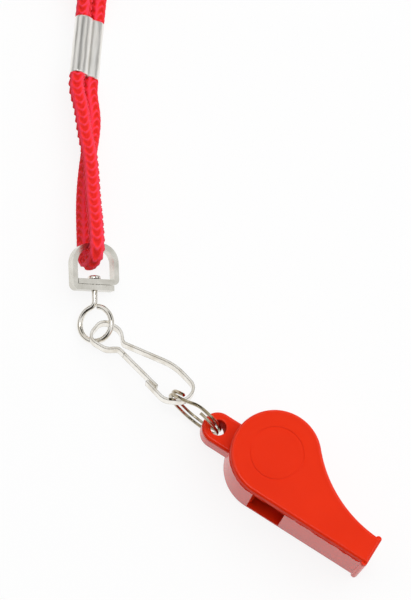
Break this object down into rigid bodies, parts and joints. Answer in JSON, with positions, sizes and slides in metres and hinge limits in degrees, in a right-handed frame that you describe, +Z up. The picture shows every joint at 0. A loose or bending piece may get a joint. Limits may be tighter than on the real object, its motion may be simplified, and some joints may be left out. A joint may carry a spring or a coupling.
{
  "type": "sports whistle",
  "caption": "Orange-red moulded pea whistle with a split ring, a snap hook with swivel and a crimped red knitted lanyard, the neck loop coiled and tied",
  "frame": {"origin": "On the outside of the lower cheek, at the chamber's axis.", "axes": "+X towards the mouthpiece, -Y on the window side, +Z up through both cheeks; the lug, ring, hook and lanyard lie on the -X side."},
  "size_m": [0.1904, 0.1606, 0.0175],
  "materials": {
    "whistle_plastic": "gloss",
    "pea_cork": "matte",
    "ring_steel": "satin",
    "hook_nickel": "polished",
    "swivel_nickel": "polished",
    "crimp_metal": "satin",
    "cord_knit": "knitted",
    "tie_tape": "woven"
  },
  "bodies": {
    "whistle": {"whistle_body": "whistle_plastic", "side_cover": "whistle_plastic"},
    "pea": {"pea": "pea_cork"},
    "ring": {"split_ring": "ring_steel"},
    "hook": {"hook_frame": "hook_nickel"},
    "gate": {"hook_gate": "hook_nickel"},
    "eye": {"swivel_eye": "swivel_nickel"},
    "bow": {"swivel_bow": "swivel_nickel"},
    "lanyard": {"cord_fold": "cord_knit", "crimp": "crimp_metal", "cord_pinch_left": "cord_knit", "cord_pinch_right": "cord_knit", "cord_lead_left": "cord_knit", "cord_lead_right": "cord_knit", "cord_coil": "cord_knit", "coil_tie": "tie_tape"}
  },
  "joints": [
    {"name": "pea_roll", "type": "hinge", "parent": "whistle", "child": "pea", "pos_m": [0, 0, 0.007], "axis": [0, 0, 1], "continuous": true},
    {"name": "ring_swing", "type": "hinge", "parent": "whistle", "child": "ring", "pos_m": [-0.0161, -0.0008, 0.00875], "axis": [0, 0, 1], "range_deg": [-80, 80]},
    {"name": "hook_swing", "type": "hinge", "parent": "ring", "child": "hook", "pos_m": [-0.03084, 0.00098, 0.00875], "axis": [0, 0, 1], "range_deg": [-40, 40]},
    {"name": "gate_open", "type": "hinge", "parent": "hook", "child": "gate", "pos_m": [-0.04686, 0.00414, 0.00549], "axis": [-0.1272, 0.2231, 0.9665], "range_deg": [0, 18], "stiffness_Nm_per_rad": 0.02},
    {"name": "eye_slide", "type": "hinge", "parent": "hook", "child": "eye", "pos_m": [-0.05791, 0.00745, 0.00348], "axis": [-0.3374, -0.3892, 0.8572], "range_deg": [-60, 60]},
    {"name": "bow_spin", "type": "hinge", "parent": "eye", "child": "bow", "pos_m": [-0.06373, 0.0157, 0.00493], "axis": [-0.5705, 0.8088, 0.1426], "continuous": true},
    {"name": "cord_swing", "type": "hinge", "parent": "bow", "child": "lanyard", "pos_m": [-0.06961, 0.02403, 0.0064], "axis": [0.7131, 0.574, -0.4026], "range_deg": [-60, 60]}
  ]
}
